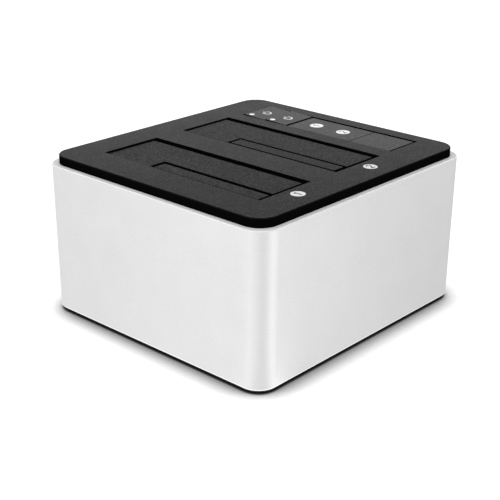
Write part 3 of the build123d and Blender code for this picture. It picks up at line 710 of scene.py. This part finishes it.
class DOCK_OT_stage(bpy.types.Operator):
    """Floor, lamps, white surroundings and the camera of the photograph"""

    bl_idname = "dock.stage"
    bl_label = "Stage"

    def execute(self, context):
        self.floor()
        self.world()
        self.lamps()
        self.camera()
        context.scene.view_settings.view_transform = "Standard"
        return {"FINISHED"}

    def floor(self):
        """A wide pale floor that shows white to the camera, with a contact shadow painted where the object stands.
        """
        half = FLOOR_HALF
        grid = np.array([[[-half, -half, 0], [half, -half, 0]],
                         [[-half, half, 0], [half, half, 0]]], float)
        mesh = mesh_from_grid("floor", grid)
        g = new_graph("floor_paper")
        seen = g.value("ShaderNodeLightPath", output="Is Camera Ray")
        # Painted contact shadow: ambient occlusion near the object darkens the floor's colour and its glow
        near = g.value("ShaderNodeAmbientOcclusion", None, {"Distance": CONTACT_REACH}, "AO")
        outside_painted_shadow = near.step(0.28, 0.99)
        x, y, _ = g.split(g.place())
        away = from_middle(x, y).step(0.3, 1.2)
        shown = g.surface({
            "Base Color": g.tint(outside_painted_shadow, (0.02, 0.02, 0.02), (0.86, 0.86, 0.86)),
            "Roughness": 1.0,
            "Specular IOR Level": 0.0,
            "Emission Color": g.tint(outside_painted_shadow * (0.42 + away * 0.58), BLACK, WHITE),
            "Emission Strength": 1.0,
        })
        mesh.materials.append(g.finish(g.mixed(seen, self.painted_floor_glow(g), shown)))
        floor = bpy.data.objects.new("floor", mesh)
        bpy.context.scene.collection.objects.link(floor)

    def painted_floor_glow(self, g):
        """What other surfaces see of the floor.

        Its glow is painted: a shade falls off along both near sides, and two brighter rays of painted light leave
        the near corner, standing in for the panels of a light tent.
        """
        x, y, _ = g.split(g.place())
        # Painted shade: the glow falls off along both near sides of the object
        painted_fall = across(x, y).step(-90 * MM, 15 * MM)
        right = (x - y - (NEAR_CORNER.x - NEAR_CORNER.y)).step(-20 * MM, 20 * MM)
        level = 0.985 - painted_fall * (0.115 + right * 0.045) - right * 0.12
        turn = (x - NEAR_CORNER.x).math("ARCTAN2", NEAR_CORNER.y - y) * (180 / math.pi)
        # Painted light: two brighter rays in the glow from the near corner
        for azimuth, width, gain in PAINTED_RAYS:
            off = (turn - azimuth) / width
            level = level + (off * off * -1.0).math("EXPONENT") * gain
        level = level - (level - 0.88) * from_middle(x, y).step(0.5, 1.5)
        return g.surface({
            "Base Color": (*BLACK, 1.0),
            "Roughness": 1.0,
            "Specular IOR Level": 0.0,
            "Emission Color": g.tint(level * 0.5, BLACK, WHITE),
            "Emission Strength": 2.0,
        })

    def world(self):
        """White for the camera; for the light itself bright at the horizon and softer overhead."""
        g = Graph(bpy.data.worlds.new("surroundings"), "ShaderNodeOutputWorld")
        path = g.node("ShaderNodeLightPath").outputs
        seen = Value(g, path["Is Camera Ray"]).math(
            "MAXIMUM", Value(g, path["Is Transmission Ray"]))
        aside, _, height = g.split(g.value("ShaderNodeTexCoord", output="Generated"))
        light = (0.98 - height.step(0.18, 0.58) * 0.45) * (1.0 - aside.step(-0.5, 0.9) * 0.22)
        level = light + seen * (1.0 - light)
        bpy.context.scene.world = g.finish(g.value(
            "ShaderNodeBackground", None, {"Color": (*WHITE, 1.0), "Strength": level}))

    def lamps(self):
        """An overhead soft box, two low upright strips for the corner and two edge lamps."""
        for name, azimuth, elevation, away, width, height, watts in LAMPS:
            lamp = bpy.data.lights.new(name, "AREA")
            lamp.shape = "RECTANGLE"
            lamp.size = width
            lamp.size_y = height
            lamp.energy = watts
            holder = bpy.data.objects.new(name, lamp)
            spot = away * direction(math.radians(azimuth), math.radians(elevation))
            holder.location = spot + LAMP_AIM
            holder.rotation_euler = (-spot).to_track_quat("-Z", "Y").to_euler()
            bpy.context.scene.collection.objects.link(holder)

    def camera(self):
        """The photograph's camera, from its fitted angles, distance and principal point."""
        c = CAMERA
        azimuth, elevation, roll = (math.radians(c[k]) for k in ("azimuth", "elevation", "roll"))
        back = direction(azimuth, elevation)
        right = Vector((math.cos(azimuth), math.sin(azimuth), 0.0))
        up = back.cross(right)
        x_axis = math.cos(roll) * right + math.sin(roll) * up
        y_axis = -math.sin(roll) * right + math.cos(roll) * up
        spot = Vector(c["target"]) + back * c["distance"]
        data = bpy.data.cameras.new("photo_camera")
        data.sensor_fit = "HORIZONTAL"
        data.sensor_width = 36.0
        data.lens = c["focal_px"] / c["frame_px"] * data.sensor_width
        data.shift_x = (c["frame_px"] / 2 - c["centre_px"][0]) / c["frame_px"]
        data.shift_y = (c["centre_px"][1] - c["frame_px"] / 2) / c["frame_px"]
        data.clip_end = 30.0
        camera = bpy.data.objects.new("photo_camera", data)
        turn = Matrix((x_axis, y_axis, back)).transposed().to_4x4()
        camera.matrix_world = Matrix.Translation(spot) @ turn
        bpy.context.scene.collection.objects.link(camera)
        bpy.context.scene.camera = camera


class DOCK_PT_panel(bpy.types.Panel):
    """Lists the settings and the steps in the sidebar"""

    bl_idname = "DOCK_PT_panel"
    bl_label = "Docking Station"
    bl_space_type = "VIEW_3D"
    bl_region_type = "UI"
    bl_category = "Docking Station"

    def draw(self, context):
        for group in (context.scene.dock_colours, context.scene.dock_sizes):
            for key in group.__annotations__:
                self.layout.prop(group, key)
        for step in STEPS:
            self.layout.operator(step.bl_idname)


STEPS = (DOCK_OT_finishes, DOCK_OT_digits, DOCK_OT_power_marks, DOCK_OT_springs, DOCK_OT_stage)
CLASSES = (DockSizes, DockColours) + STEPS + (DOCK_PT_panel,)


def register():
    """Registers the classes and the scene's settings."""
    for cls in CLASSES:
        bpy.utils.register_class(cls)
    bpy.types.Scene.dock_sizes = PointerProperty(type=DockSizes)
    bpy.types.Scene.dock_colours = PointerProperty(type=DockColours)


def unregister():
    """Takes the settings and the classes away again."""
    del bpy.types.Scene.dock_sizes
    del bpy.types.Scene.dock_colours
    for cls in reversed(CLASSES):
        bpy.utils.unregister_class(cls)


def main():
    register()
    bpy.ops.dock.finishes()
    bpy.ops.dock.digits()
    bpy.ops.dock.power_marks()
    bpy.ops.dock.springs()
    bpy.ops.dock.stage()


if __name__ == "__main__":
    main()
